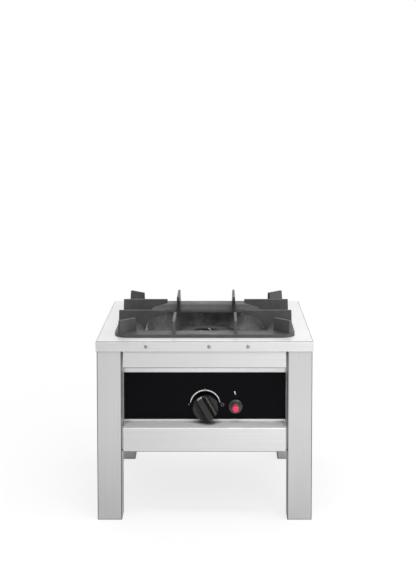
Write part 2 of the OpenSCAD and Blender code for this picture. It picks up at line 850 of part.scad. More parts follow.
// Spindle: round stem with a flat on the end that drives the knob
module tap_spindle() {
    flat = spindle_d / 2 - 1.5;
    flat_len = 24;
    color("silver") translate([knob_x, 0, knob_z]) difference() {
        rod_y(spindle_d / 2, spindle_front, spindle_back - spindle_front);
        rotate([0, -grip_tilt, 0]) translate([flat, spindle_front - cut, -spindle_d])
            cube([spindle_d, flat_len, 2 * spindle_d]);
    }
}

// Coil spring as a stack of rings joined by a thin sleeve, in the plug's socket
module spring_y(r, wire, len, turns) {
    pitch = (len - wire) / (turns - 1);
    difference() {
        union() {
            for (i = [0 : turns - 1]) translate([0, wire / 2 + i * pitch, 0]) rotate([-90, 0, 0])
                rotate_extrude() translate([r - wire / 2, 0]) circle(d = wire);
            rod_y(r - wire / 2, 0, len);
        }
        rod_y(r - wire, -cut, len + 2 * cut);
    }
}

module spindle_spring() {
    color("dimgray") translate([knob_x, spindle_back + seat_gap, knob_z])
        spring_y(spindle_d / 2 - pass_gap, 0.9, spring_len - 2 * seat_gap, 5);
}

module tap_screws() {
    color("silver") for (s = [-1, 1]) translate([knob_x + s * tap_screw_x, 0, knob_z]) {
        rod_y(tap_head_r, panel_y - tap_head_h, tap_head_h);
        rod_y(tap_screw_d / 2, panel_y - cut, cut + rail_t + cover_t + tap_flange_t);
    }
}

// Knob: a round skirt, and a grip bar whose scooped flanks run out towards the skirt's rim
module knob() {
    r = knob_d / 2;
    rim = 1.5;
    face_r = r - rim;
    grip_bevel = 3;
    draft = 1;
    foot = 18;
    scoop_r = 25.5;
    scoop_y = grip_face - 3;
    hub_r = spindle_d / 2 + 3;
    hollow_r = r - 5;
    hollow_y = knob_back - knob_skirt / 2;
    color([0.2, 0.2, 0.21]) translate([knob_x, 0, knob_z]) rotate([0, -grip_tilt, 0]) difference() {
        union() {
            lathe_y() polygon([
                [0, knob_back], [face_r, knob_back], [r, knob_back - rim],
                [r, knob_face + rim], [face_r, knob_face], [0, knob_face]
            ]);
            intersection() {
                lathe_y() polygon([
                    [0, knob_face + cut], [face_r, knob_face + cut],
                    [face_r - draft, grip_face + grip_bevel],
                    [face_r - draft - grip_bevel, grip_face], [0, grip_face]
                ]);
                translate([0, 0, -r]) linear_extrude(knob_d) difference() {
                    translate([-grip_w / 2 - foot, grip_face - cut])
                        square([grip_w + 2 * foot, knob_grip + 2 * cut]);
                    for (s = [-1, 1]) translate([s * (grip_w / 2 + scoop_r), scoop_y]) circle(r = scoop_r);
                }
            }
        }
        rod_y(spindle_d / 2 + turn_gap, spindle_front - seat_gap, knob_skirt + knob_grip);
        lathe_y() polygon([
            [hub_r, knob_back + cut], [hollow_r, knob_back + cut], [hollow_r, hollow_y], [hub_r, hollow_y]
        ]);
    }
}

module supply_pipe() {
    color("silver") bent_pipe([
        [inlet_x, -panel_back - inlet_body_len + inlet_socket_len - seat_gap, inlet_z],
        [inlet_x, supply_y, inlet_z],
        [inlet_x, supply_y, supply_z], [knob_x, supply_y, supply_z],
        [knob_x, supply_y, supply_boss_z - seat_gap]
    ], supply_bend, supply_d / 2, pipe_t);
}

module burner_pipe() {
    color("silver") bent_pipe([
        [knob_x, feed_y, feed_boss_z + seat_gap], [knob_x, feed_y, tube_z],
        [knob_x, injector_y - injector_hex - seat_gap, tube_z]
    ], feed_bend, feed_d / 2, pipe_t);
}

// Compression nuts: at the tap's two bosses, behind the injector and at the inlet
module pipe_nuts() {
    supply_flats = supply_d + 8;
    feed_flats = feed_d + 6;
    color([0.8, 0.68, 0.4]) {
        translate([knob_x, supply_y, supply_boss_z - seat_gap - pipe_nut_len])
            nut_z(supply_flats, supply_d, pipe_nut_len);
        translate([knob_x, feed_y, feed_boss_z + seat_gap]) nut_z(feed_flats, feed_d, pipe_nut_len);
        translate([inlet_x, -panel_back - inlet_body_len - seat_gap - pipe_nut_len, inlet_z])
            rotate([-90, 0, 0]) nut_z(supply_flats, supply_d, pipe_nut_len);
    }
}

// Bulkhead fitting through the rear panel, with the thread for the gas hose
module gas_inlet() {
    seat_y = -panel_back;
    shank_len = rail_t + inlet_nut_t + 2;
    flange_len = 10;
    color([0.8, 0.68, 0.4]) translate([inlet_x, 0, inlet_z]) difference() {
        union() {
            hex_y(inlet_flats, seat_y - flange_len, flange_len - seat_gap);
            rod_y(supply_d / 2 + 4, seat_y - inlet_body_len, inlet_body_len - flange_len + cut);
            rod_y(inlet_shank_r, seat_y - cut, shank_len + cut);
            rod_y(inlet_d / 2, seat_y + shank_len - cut, inlet_len + cut);
        }
        rod_y(supply_d / 2 + seat_gap, seat_y - inlet_body_len - cut, inlet_socket_len + cut);
        rod_y(supply_d / 2 - pipe_t, seat_y - inlet_body_len, inlet_body_len + shank_len + inlet_len + cut);
    }
}

module inlet_nut() {
    color("silver") translate([inlet_x, -panel_y + seat_gap, inlet_z]) rotate([-90, 0, 0])
        nut_z(inlet_flats, 2 * inlet_shank_r, inlet_nut_t);
}

// Strip under the inner ring that carries the electrode and the thermocouple
module igniter_bracket() {
    reach = inner_ring_d / 2 - 16;
    w = 20;
    color("silver") translate([0, probe_y, chamber_z - seat_gap - bracket_t]) difference() {
        translate([-reach, -w / 2, 0]) cube([2 * reach, w, bracket_t]);
        for (s = [-1, 1]) translate([s * spark_x, 0, -cut])
            cylinder(r = probe_r + seat_gap, h = bracket_t + 2 * cut);
    }
}

module spark_electrode() {
    top = crown_z + crown_h - 4;
    color("white") translate([spark_x, probe_y, 0]) {
        translate([0, 0, probe_z]) cylinder(r = probe_r, h = top - probe_z);
        translate([0, 0, chamber_z]) cylinder(r = collar_r, h = collar_r);
        translate([0, 0, top - cut]) cylinder(r = tip_r, h = 10);
        translate([0, 0, top + 8]) rotate([0, -60, 0]) cylinder(r = tip_r, h = 7);
    }
}

module thermocouple() {
    top = crown_z + crown_h;
    color([0.72, 0.5, 0.36]) translate([-spark_x, probe_y, 0]) {
        translate([0, 0, probe_z]) cylinder(r = probe_r, h = chamber_z + 12 - probe_z);
        translate([0, 0, chamber_z]) cylinder(r = collar_r, h = collar_r);
        translate([0, 0, chamber_z]) cylinder(r = sensor_r, h = top - chamber_z);
        translate([0, 0, top]) sphere(r = sensor_r);
    }
}

module thermocouple_lead() {
    color([0.75, 0.48, 0.32]) bent_rod([
        [-spark_x, probe_y, probe_z - seat_gap], [-spark_x, probe_y, knob_z], [knob_x, probe_y, knob_z],
        [knob_x, tap_back + magnet_len + magnet_nut_len + seat_gap, knob_z]
    ], 7, lead_r);
}

module ignition_lead() {
    color([0.75, 0.72, 0.68]) bent_rod([
        [spark_x, probe_y, probe_z - seat_gap], [spark_x, probe_y, spark_lead_z],
        [igniter_x, probe_y, spark_lead_z], [igniter_x, lead_back_y, spark_lead_z],
        [igniter_x, lead_back_y, knob_z], [igniter_x, barrel_back + terminal_len + seat_gap, knob_z]
    ], 10, 2);
}

// Igniter barrel: a tube that guides the button, closed at the back by its terminal
module igniter_barrel() {
    bore_y = button_back + button_push + 2;
    front = fascia_y - bezel_t - barrel_out;
    rim = 0.8;
    terminal_r = 3.5;
    color([0.12, 0.12, 0.13]) translate([igniter_x, 0, knob_z]) difference() {
        union() {
            lathe_y() polygon([
                [0, front], [barrel_d / 2 - rim, front], [barrel_d / 2, front + rim],
                [barrel_d / 2, barrel_back], [0, barrel_back]
            ]);
            rod_y(terminal_r, barrel_back - cut, terminal_len + cut);
        }
        rod_y(button_d / 2 + slide_gap, front - cut, bore_y - front + cut);
    }
}

// Bezel round the barrel, dished from its rim down to the barrel
module igniter_bezel() {
    r = bezel_d / 2;
    inner = barrel_d / 2;
    dish = 4;
    front = fascia_y - bezel_t;
    color("whitesmoke") translate([igniter_x, 0, knob_z]) lathe_y() polygon([
        [inner + seat_gap, fascia_y - seat_gap], [r, fascia_y - seat_gap], [r, fascia_y - 2],
        [r - 0.7, front + 0.7], [r - 1.6, front], [r - 2.4, front + 0.6],
        [inner + seat_gap, front + dish]
    ]);
}

module igniter_nut() {
    color("silver") translate([igniter_x, panel_back + seat_gap, knob_z]) rotate([-90, 0, 0])
        nut_z(barrel_d + 7, barrel_d, igniter_nut_t);
}

// Push button with a crowned tip
module igniter_button() {
    r = button_d / 2;
    color([0.85, 0.1, 0.2]) translate([igniter_x, 0, knob_z]) lathe_y() polygon([
        [0, button_back], [r, button_back], [r, button_tip + 2.5], [r - 0.7, button_tip + 0.9],
        [r - 2.2, button_tip + 0.2], [0, button_tip]
    ]);
}

module button_spring() {
    color("dimgray") translate([igniter_x, button_back + seat_gap, knob_z])
        spring_y(button_d / 2 - 2, 1, button_push + 2 - 2 * seat_gap, 4);
}

// Side view of a fin: x is the distance from the middle, y the height above the top plate
module fin_section(edge) {
    skirt = edge - support_over - skirt_set;
    knee = skirt - knee_set;
    difference() {
        polygon([
            [edge - 0.5, support_t / 2], [edge - fin_lean, fin_h], [fin_tip, fin_h],
            [fin_tip, fin_h - fin_drop], [knee - 8, knee_z + 3], [knee - 2, knee_z],
            [knee + 3, knee_z - 6],
            [skirt - 1.5, -roll_r], [skirt + support_t, -roll_r], [skirt + support_t + roll_r, 1]
        ]);
        translate([skirt + support_t + roll_r, -roll_r]) circle(r = roll_r);
    }
}

// A fin along +X, drafted from its root to its top
module fin(edge) {
    intersection() {
        rotate([90, 0, 0]) linear_extrude(2 * fin_root_t, center = true) fin_section(edge);
        rotate([90, 0, 90]) linear_extrude(edge + cut) polygon([
            [-fin_root_t / 2, -roll_r - cut], [fin_root_t / 2, -roll_r - cut],
            [fin_top_t / 2, fin_h + cut], [-fin_top_t / 2, fin_h + cut]
        ]);
    }
}

// Upright plate towards a corner of the support, whose corner arc is centred on its origin
module corner_plate() {
    root = fin_root_t / 2;
    tip = fin_top_t / 2;
    outer = support_r - fin_lean;
    inner = outer - corner_len;
    intersection() {
        rotate([90, 0, 0]) linear_extrude(fin_root_t, center = true) polygon([
            [inner, support_t / 2], [outer, support_t / 2], [outer - fin_lean, fin_h], [inner, fin_h]
        ]);
        translate([inner - cut, 0, 0]) rotate([90, 0, 90]) linear_extrude(corner_len + 2 * cut)
            polygon([[-root, 0], [root, 0], [tip, fin_h + cut], [-tip, fin_h + cut]]);
    }
}

// Cast pan support: a flat frame rolled down inside the opening, with twelve upright fins
module pan_support() {
    flat_set = skirt_set - support_t - roll_r;
    flat_x = opening_x - flat_set;
    flat_y = opening_y - flat_set;
    inner_r = roll_r + support_t + 2;
    color([0.3, 0.3, 0.31]) translate([0, 0, top_z + seat_gap / 2]) union() {
        linear_extrude(support_t) difference() {
            round_rect(2 * support_x, 2 * support_y, support_r);
            round_rect(2 * flat_x, 2 * flat_y, inner_r);
        }
        rect_sweep(flat_x, flat_y, inner_r) difference() {
            translate([inner_r, -roll_r]) circle(r = roll_r + support_t);
            translate([inner_r, -roll_r]) circle(r = roll_r);
            translate([inner_r, -3 * roll_r]) square(6 * roll_r);
            translate([-4 * roll_r, -7 * roll_r]) square([8 * roll_r, 6 * roll_r]);
        }
        for (q = [0 : 3], s = [-1, 1]) rotate(90 * q) translate([0, s * fin_place, 0])
            fin(q % 2 == 0 ? support_x : support_y);
        for (sx = [-1, 1], sy = [-1, 1])
            translate([sx * (support_x - support_r), sy * (support_y - support_r), 0])
                rotate(atan2(sy, sx)) corner_plate();
    }
}

module lip_screws() {
    color("gray") for (x = lip_screw_xs, s = [0, 180]) rotate(s)
        translate([x, -half_d, lip_screw_z]) screw_y(lip_screw_len);
}

// Screws from inside the casing: panels to legs, and ledges to panels
module panel_screws() {
    color("gray") for (s = [0, 180]) rotate(s) for (x = [-1, 1]) {
        for (z = panel_screw_z) translate([x * panel_screw_x, panel_back, z])
            mirror([0, 1, 0]) screw_y(panel_screw_len);
        translate([x * ledge_screw_x, panel_back, ledge_screw_z])
            mirror([0, 1, 0]) screw_y(panel_screw_len);
    }
}

top_plate();
leg_front_left();
leg_front_right();
leg_rear_left();
leg_rear_right();
leg_plugs();
upper_front_rail();
lower_front_rail();
upper_rear_rail();
lower_rear_rail();
left_side_panel();
right_side_panel();
rear_panel();
control_panel();
fascia();
burner_well();
burner_body();
outer_crown();
inner_crown();
burner_bolts();
air_shutter();
injector();
injector_bracket();
bracket_screws();
tap_body();
tap_cover();
tap_plug();
tap_spindle();
spindle_spring();
tap_screws();
knob();
supply_pipe();
burner_pipe();
pipe_nuts();
gas_inlet();
inlet_nut();
thermocouple();
thermocouple_lead();
spark_electrode();
igniter_bracket();
ignition_lead();
igniter_barrel();
igniter_bezel();
igniter_nut();
igniter_button();
button_spring();
pan_support();
lip_screws();
panel_screws();
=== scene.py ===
import json
import math
from collections import namedtuple

import bmesh
import bpy
from bpy.props import FloatProperty, FloatVectorProperty, PointerProperty
from bpy.types import Operator, Panel, PropertyGroup
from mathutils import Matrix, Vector


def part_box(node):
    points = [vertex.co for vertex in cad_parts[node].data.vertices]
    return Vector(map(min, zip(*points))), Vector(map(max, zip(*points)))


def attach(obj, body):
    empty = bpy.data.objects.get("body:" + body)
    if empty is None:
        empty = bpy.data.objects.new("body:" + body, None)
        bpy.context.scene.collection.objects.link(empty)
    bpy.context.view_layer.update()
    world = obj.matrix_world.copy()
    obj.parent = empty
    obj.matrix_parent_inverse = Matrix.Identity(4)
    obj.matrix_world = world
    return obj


bl_info = {
    "name": "Stockpot stove finishes",
    "version": (1, 0, 0),
    "blender": (4, 5, 0),
    "location": "View3D > Sidebar > Stove",
    "description": "Gives a packed stockpot stove its sheet steel, castings, controls, prints and stage",
    "category": "Object",
}

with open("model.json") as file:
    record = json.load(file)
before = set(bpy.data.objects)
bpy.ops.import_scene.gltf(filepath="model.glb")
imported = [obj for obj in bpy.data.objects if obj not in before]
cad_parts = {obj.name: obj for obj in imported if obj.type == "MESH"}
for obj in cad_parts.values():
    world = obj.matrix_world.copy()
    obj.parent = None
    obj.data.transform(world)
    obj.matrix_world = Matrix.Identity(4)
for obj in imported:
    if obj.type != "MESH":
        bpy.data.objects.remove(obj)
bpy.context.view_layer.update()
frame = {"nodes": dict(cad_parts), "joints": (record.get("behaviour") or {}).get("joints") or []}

STOVE = "stove"
KNOB = "knob_and_spindle"
ALONG_X, ALONG_Y, ALONG_Z = range(3)

# Prints lie this far into the surface that carries them, so that no gap shows
SINK = 0.00002

# A printed patch starts as a band round a hole of this share of its size, which is then filled
PATCH_HOLE = 0.02

# A change from low to high while a value goes from start to end
Ramp = namedtuple("Ramp", "low high start end")

# Folds seen aslant get painted dark reflection down to shade where no component of the normal is larger
# than full, and none where one is larger than bare. Where upper_too is false, folds that face up stay
# bright.
Fold = namedtuple("Fold", "shade full bare upper_too")
BROAD_FOLD = Fold(0.02, 0.78, 0.997, True)
NARROW_FOLD = Fold(0.02, 0.88, 0.999, True)
LOWER_FOLD = Fold(0.02, 0.88, 0.999, False)

WORKTOP = ["top_plate"]
LEGS = ["leg_front_left", "leg_front_right", "leg_rear_left", "leg_rear_right"]
CASING = [
    "upper_front_rail", "lower_front_rail", "upper_rear_rail", "lower_rear_rail",
    "rear_panel",
]
SIDES = ["left_side_panel", "right_side_panel"]
PLATED = [
    "burner_bolts", "air_shutter", "injector_bracket", "bracket_screws", "tap_cover",
    "tap_spindle", "spindle_spring", "tap_screws", "supply_pipe", "inlet_nut",
    "igniter_bracket", "igniter_nut", "button_spring",
]
SCREWS = ["lip_screws", "panel_screws"]
BRASS = ["injector", "tap_body", "tap_plug", "pipe_nuts", "gas_inlet"]
COPPER = ["burner_pipe", "thermocouple", "thermocouple_lead"]
CROWNS = ["outer_crown", "inner_crown"]


def colour_property(name, description, default):
    return FloatVectorProperty(
        name=name, description=description, default=default, size=3, min=0, max=1, subtype="COLOR"
    )


def length_property(name, description, default):
    return FloatProperty(
        name=name, description=description, default=default, min=0.00001, max=20, precision=5,
        subtype="DISTANCE", unit="LENGTH",
    )


def share_property(name, description, default):
    return FloatProperty(
        name=name, description=description, default=default, min=0, max=1, subtype="FACTOR"
    )


class SheetSettings(PropertyGroup):
    """Colours, grain and polish of the folded stainless sheet, and the painted shade on it."""

    worktop: colour_property("Worktop", "Colour of the top plate", (0.79, 0.79, 0.79))
    legs: colour_property("Legs", "Colour of the legs", (0.68, 0.68, 0.68))
    casing: colour_property("Casing", "Colour of the rails and rear panel", (0.98, 0.98, 0.98))
    sides: colour_property("Sides", "Colour of the side panels", (0.78, 0.78, 0.78))
    panel: colour_property("Panel", "Colour of the control panel", (0.97, 0.97, 0.97))
    well: colour_property("Well", "Colour of the polished burner well", (0.6, 0.6, 0.6))
    worktop_roughness: share_property("Worktop roughness", "Roughness of the top plate", 0.4)
    leg_roughness: share_property("Leg roughness", "Roughness of the legs", 0.36)
    casing_roughness: share_property("Casing roughness", "Roughness of the upright casing", 0.5)
    ledge_roughness: share_property("Ledge roughness", "Roughness of the casing's ledges", 0.36)
    side_roughness: share_property("Side roughness", "Roughness of the side panels", 0.4)
    panel_roughness: share_property("Panel roughness", "Roughness of the control panel", 0.22)
    # Painted shade on the casing's upright faces, which leaves its ledges lighter
    upright_shade: share_property("Upright shade", "Shade of the casing's upright faces", 0.79)
    # Painted shade towards the legs' feet
    foot_shade: share_property("Foot shade", "Deepest shade towards the legs' feet", 0.55)
    # Half width of the opening whose walls get painted shade
    opening: length_property("Opening", "Half width of the opening in the top", 0.2025)
    grain_width: length_property("Grain width", "Width of one brushed line", 0.0006)
    grain_length: length_property("Grain length", "Length of one brushed line", 0.07)
    # Widths of painted shade: along the legs' corners, towards their feet, in the casing's corners and
    # hollows, round the fascia
    leg_reach: length_property("Leg corner", "Width of the dull line along the legs", 0.008)
    foot_reach: length_property("Foot reach", "Height of the shade towards the legs' feet", 0.3)
    corner_reach: length_property("Corner", "Width of the dull line in the casing's corners", 0.002)
    ledge_reach: length_property("Ledge reach", "Width of the shade in the casing's hollows", 0.03)
    panel_reach: length_property("Panel corner", "Width of the dull line round the fascia", 0.0002)


class CastingSettings(PropertyGroup):
    """Colours of the iron castings."""

    burner: colour_property("Burner", "Colour of the burner casting", (0.05, 0.05, 0.052))
    crown: colour_property("Crowns", "Colour of the slotted crowns", (0.024, 0.024, 0.025))
    support: colour_property("Pan support", "Colour of the enamelled pan support", (0.075, 0.075, 0.078))
    edge: length_property("Edge", "Radius of the softened cast edges", 0.0020)


class ControlSettings(PropertyGroup):
    """Colours and sizes of the fascia, the knob and the igniter."""

    fascia: colour_property("Fascia", "Colour of the glossy fascia", (0.003, 0.0022, 0.004))
    knob: colour_property("Knob", "Colour of the moulded knob", (0.006, 0.006, 0.005))
    button: colour_property("Button", "Colour of the push button", (0.85, 0.002, 0.045))
    # The button's paler edge is a painted highlight
    button_highlight: colour_property("Button edge", "Colour of the button's edge", (1.0, 0.04, 0.13))
    bezel: colour_property("Bezel", "Colour of the bezel and the barrel", (0.28, 0.3, 0.27))
    print_white: colour_property("Print", "Colour of the printed marks", (0.97, 0.97, 0.97))
    print_grey: colour_property("Thin print", "Colour of the thin marks", (0.2, 0.2, 0.21))
    # The pointer is a pale patch on the grip's end wall, a painted highlight where that wall catches
    # light from above
    pointer: colour_property("Pointer", "Colour of the knob's pointer", (0.72, 0.72, 0.73))
    print_thickness: length_property("Print thickness", "Thickness of the printed marks", 0.00012)
    scale_radius: length_property("Scale radius", "Radius of the printed scale", 0.0409)
    scale_width: length_property("Scale width", "Greatest width of the scale's line", 0.003)
    # Size of the pointer's painted highlight
    pointer_width: length_property("Pointer width", "Width of the knob's pointer", 0.0145)
    pointer_depth: length_property("Pointer depth", "Length of the pointer from the skirt", 0.0155)
    flame_height: length_property("Flame height", "Height of the igniter's flame mark", 0.0112)


class FittingSettings(PropertyGroup):
    """Colours of the gas line, the leads and the fasteners."""

    zinc: colour_property("Zinc", "Colour of the plated fittings", (0.62, 0.63, 0.64))
    brass: colour_property("Brass", "Colour of the brass fittings", (0.76, 0.56, 0.27))
    copper: colour_property("Copper", "Colour of the copper pipes", (0.75, 0.42, 0.28))
    ceramic: colour_property("Ceramic", "Colour of the spark electrode", (0.86, 0.84, 0.79))
    sleeve: colour_property("Sleeve", "Colour of the ignition lead", (0.55, 0.52, 0.48))
    screws: colour_property("Screws", "Colour of the casing screws", (0.42, 0.42, 0.43))
    plugs: colour_property("Plugs", "Colour of the legs' plugs", (0.025, 0.025, 0.026))
    plug_edge: length_property("Plug edge", "Radius of the plugs' softened edges", 0.0006)


class StageSettings(PropertyGroup):
    """Floor and camera."""

    floor: colour_property("Floor", "Colour of the floor", (0.93, 0.93, 0.93))
    floor_size: length_property("Floor size", "Half width of the floor", 14.0)
    lens: FloatProperty(
        name="Lens", description="Focal length in millimetres", default=71.75, min=10, max=300
    )
    distance: length_property("Distance", "Camera's distance in front of the middle", 3.338)
    height: length_property("Height", "Camera's height above the floor", 1.1663)
    aside: length_property("Aside", "Camera's distance to the right of the middle", 0.0337)
    pitch: FloatProperty(
        name="Pitch", description="How far the camera looks down", default=math.radians(3.97),
        subtype="ANGLE", unit="ROTATION",
    )
    shift_x: FloatProperty(name="Shift X", description="Sideways shift of the picture", default=-0.0158)
    shift_y: FloatProperty(name="Shift Y", description="Upward shift of the picture", default=-0.2160)


class Nodes:
    """A node tree, with the ways to add to it."""

    def __init__(self, tree):
        self.tree = tree

    def add(self, kind, values=None, **options):
        made = self.tree.nodes.new(kind)
        for option, value in options.items():
            setattr(made, option, value)
        for socket, value in (values or {}).items():
            self.feed(made.inputs[socket], value)
        return made

    def feed(self, socket, value):
        """Links the value to the socket if it comes from a node, or else sets it there."""
        if isinstance(value, bpy.types.NodeSocket):
            self.tree.links.new(value, socket)
        else:
            socket.default_value = value

    def number(self, operation, a, b):
        """The result of one arithmetic operation on two values."""
        return self.add("ShaderNodeMath", {0: a, 1: b}, operation=operation).outputs[0]

    def vector(self, operation, a, b=(0.0, 0.0, 0.0)):
        """The result of one operation on one or two vectors."""
        return self.add("ShaderNodeVectorMath", {0: a, 1: b}, operation=operation).outputs["Vector"]

    def length(self, vector):
        return self.add("ShaderNodeVectorMath", {0: vector}, operation="LENGTH").outputs["Value"]

    def split(self, vector):
        """The X, Y and Z of a vector, by name."""
        return self.add("ShaderNodeSeparateXYZ", {"Vector": vector}).outputs

    def ramp(self, value, low, high, start, end, interpolation="LINEAR"):
        """Goes from low to high as the value goes from start to end."""
        return self.add(
            "ShaderNodeMapRange",
            {"Value": value, "From Min": start, "From Max": end, "To Min": low, "To Max": high},
            interpolation_type=interpolation,
        ).outputs["Result"]

    def mix(self, factor, first, second, blend="MIX"):
        """The colour that the factor picks between two colours."""
        return self.add(
            "ShaderNodeMix", {"Factor": factor, "A": first, "B": second},
            data_type="RGBA", blend_type=blend,
        ).outputs["Result"]


class Finish(Nodes):
    """A material's node tree with its Principled shader."""

    # Share of a fold's painted dark reflection by how far aslant the fold is seen
    ASLANT = Ramp(0.2, 1.0, 0.02, 0.16)
    # A face starts to count as facing up at the first Z of its normal, and fully does at the second
    UPWARD_START, UPWARD_END = 0.3, 0.9
    # The painted shade on an opening's walls reaches this far outside it, and fades out over the same
    # width
    COLLAR_WIDTH = 0.003
    # The grain leans off its axis by this much, or a face across the axis would have no grain
    GRAIN_LEAN = (0.02, 0.013, 0.017)

    def __init__(self, name):
        self.material = bpy.data.materials.new(name)
        self.material.use_nodes = True
        super().__init__(self.material.node_tree)
        self.shader = self.tree.nodes["Principled BSDF"]
        self.place = self.add("ShaderNodeTexCoord").outputs["Object"]

    def set(self, **values):
        for socket, value in values.items():
            self.feed(self.shader.inputs[socket.replace("_", " ")], value)

    def noise(self, size, detail=2.0, stretch=(1, 1, 1)):
        """Noise whose features are about size across, stretched along the axes."""
        scaled = self.add(
            "ShaderNodeMapping", {"Vector": self.place, "Scale": [1 / (size * s) for s in stretch]}
        )
        return self.add(
            "ShaderNodeTexNoise", {"Vector": scaled.outputs["Vector"], "Scale": 1.0, "Detail": detail}
        ).outputs["Fac"]

    def spread(self, value, low, high, start=0.3, end=0.7):
        """Maps a noise onto the range from low to high."""
        return self.ramp(value, low, high, start, end)

    def tint(self, value, colour, shade):
        """The colour, darkened to shade times itself where the noise is low."""
        return self.mix(
            self.spread(value, 0.0, 1.0), (*[c * shade for c in colour], 1), (*colour, 1)
        )

    def corners(self, reach, shade, start=0.25, end=0.85):
        """Painted shade: 1 on open surfaces, falling to shade in corners narrower than reach."""
        open_sky = self.add("ShaderNodeAmbientOcclusion", {"Distance": reach}, samples=8)
        return self.ramp(open_sky.outputs["AO"], shade, 1.0, start, end)

    def bends(self, look):
        """1 on the flats of a box-like sheet, and painted dark reflection to the look's shade on folds
        seen aslant.
        """
        facing = self.add("ShaderNodeTexCoord").outputs["Normal"]
        upwards = self.split(facing)["Z"]
        if not look.upper_too:
            facing = self.vector("NORMALIZE", self.vector("MINIMUM", facing, (1.0, 1.0, 0.0)))
        axes = self.split(self.vector("ABSOLUTE", facing))
        most = self.number("MAXIMUM", self.number("MAXIMUM", axes["X"], axes["Y"]), axes["Z"])
        fold = self.ramp(self.number("MAXIMUM", most, upwards), 1.0, 0.0, look.full, look.bare)
        aslant = self.add("ShaderNodeLayerWeight", {"Blend": 0.5}).outputs["Facing"]
        aslant = self.ramp(aslant, *self.ASLANT)
        return self.ramp(self.number("MULTIPLY", fold, aslant), 1.0, look.shade, 0.0, 1.0)

    def level(self, low, high):
        """A value that goes from low on upright faces to high on those that face up."""
        upwards = self.split(self.add("ShaderNodeTexCoord").outputs["Normal"])["Z"]
        return self.ramp(upwards, low, high, self.UPWARD_START, self.UPWARD_END)

    def square_reach(self):
        """The larger of the distances from the middle along X and along Y."""
        out = self.split(self.vector("ABSOLUTE", self.place))
        return self.number("MAXIMUM", out["X"], out["Y"])

    def collar(self, half, shade):
        """1 all over, but painted shade on the walls of a square opening of that half width."""
        start, end = half + self.COLLAR_WIDTH, half + 2 * self.COLLAR_WIDTH
        near = self.ramp(self.square_reach(), 1.0, 0.0, start, end)
        both = self.number("MULTIPLY", self.level(1.0, 0.0), near)
        return self.ramp(both, 1.0, shade, 0.0, 1.0)

    def grain(self, along):
        """A direction that runs almost along one axis of the object."""
        lean = list(self.GRAIN_LEAN)
        lean[along] = 1.0
        return self.add(
            "ShaderNodeVectorTransform", {"Vector": lean}, vector_type="VECTOR",
            convert_from="OBJECT", convert_to="WORLD",
        ).outputs["Vector"]

    def bump(self, height, depth, strength=1.0, edge=0.0):
        """A normal from a height, over edges rounded by the radius edge."""
        values = {"Height": height, "Distance": depth, "Strength": strength}
        if edge:
            values["Normal"] = self.add("ShaderNodeBevel", {"Radius": edge}).outputs["Normal"]
        return self.add("ShaderNodeBump", values).outputs["Normal"]


class BrushedSheet(Finish):
    """Satin sheet with fine lines along one axis, faint clouding, painted shade in corners and painted
    dark reflection on folds.
    """

    # Width of a streak in brushed lines, and the size of the clouding
    STREAK_LINES = 5
    CLOUD_SIZE = 0.16
    # The clouding is this many times longer along the grain
    CLOUD_STRETCH = 3
    CLOUD_SHADE = 0.95
    STREAK_SHADE = 0.95
    # Painted shade in corners goes down to this
    CORNER_SHADE = 0.45
    LINE_DEPTH = 0.00003

    def __init__(self, name, colour, along, settings, reach, fold):
        super().__init__(name)
        self.along = along
        stretch = [1, 1, 1]
        stretch[along] = settings.grain_length / settings.grain_width
        self.lines = self.noise(settings.grain_width, 2.0, stretch)
        streaks = self.noise(self.STREAK_LINES * settings.grain_width, 1.0, stretch)
        stretch = [1, 1, 1]
        stretch[along] = self.CLOUD_STRETCH
        cloud = self.noise(self.CLOUD_SIZE, 1.0, stretch)
        self.shade = self.tint(cloud, colour, self.CLOUD_SHADE)
        # Painted shade in corners and gaps
        self.darken(self.corners(reach, self.CORNER_SHADE))
        self.darken(self.spread(streaks, self.STREAK_SHADE, 1.0))
        # Painted dark reflection on folds seen aslant
        self.darken(self.bends(fold))

    def darken(self, factor):
        """Multiplies the colour by a grey factor."""
        self.shade = self.mix(1.0, self.shade, factor, "MULTIPLY")

    def brush(self, roughness, ledge_roughness=None):
        """The finished material, with its own roughness on faces that look up if one is given."""
        rough = self.level(roughness, ledge_roughness or roughness)
        self.set(
            Base_Color=self.shade,
            Metallic=0.65,
            Roughness=self.number("ADD", rough, self.spread(self.lines, low=-0.05, high=0.06)),
            Anisotropic=0.9,
            Anisotropic_Rotation=0.25,
            Tangent=self.grain(self.along),
            Normal=self.bump(self.lines, self.LINE_DEPTH, strength=0.5),
        )
        return self.material


def worktop_steel(s):
    """The top plate, with painted shade on the walls of its opening."""
    sheet = BrushedSheet("worktop_steel", s.worktop, ALONG_X, s, s.corner_reach, BROAD_FOLD)
    # Painted shade on the opening's walls
    sheet.darken(sheet.collar(s.opening, shade=0.15))
    return sheet.brush(s.worktop_roughness)


def leg_steel(s):
    """The legs, brushed upwards, with painted shade that deepens towards their feet."""
    sheet = BrushedSheet("leg_steel", s.legs, ALONG_Z, s, s.leg_reach, NARROW_FOLD)
    # Painted shade towards the feet
    sheet.darken(sheet.corners(s.foot_reach, s.foot_shade, start=0.0, end=1.0))
    return sheet.brush(s.leg_roughness)


def casing_steel(s):
    """The rails and the rear panel, with smoother ledges made lighter by painted light, and painted
    shade in hollows.
    """
    sheet = BrushedSheet("casing_steel", s.casing, ALONG_X, s, s.corner_reach, LOWER_FOLD)
    # Painted shade in hollows, such as on the ledge under the knob
    sheet.darken(sheet.corners(s.ledge_reach, shade=0.05, start=0.2, end=0.65))
    # Painted light: upright faces darker than those that face up
    sheet.darken(sheet.level(s.upright_shade, 1.0))
    return sheet.brush(s.casing_roughness, s.ledge_roughness)


def side_steel(s):
    sheet = BrushedSheet("side_steel", s.sides, ALONG_Y, s, s.corner_reach, BROAD_FOLD)
    return sheet.brush(s.side_roughness)


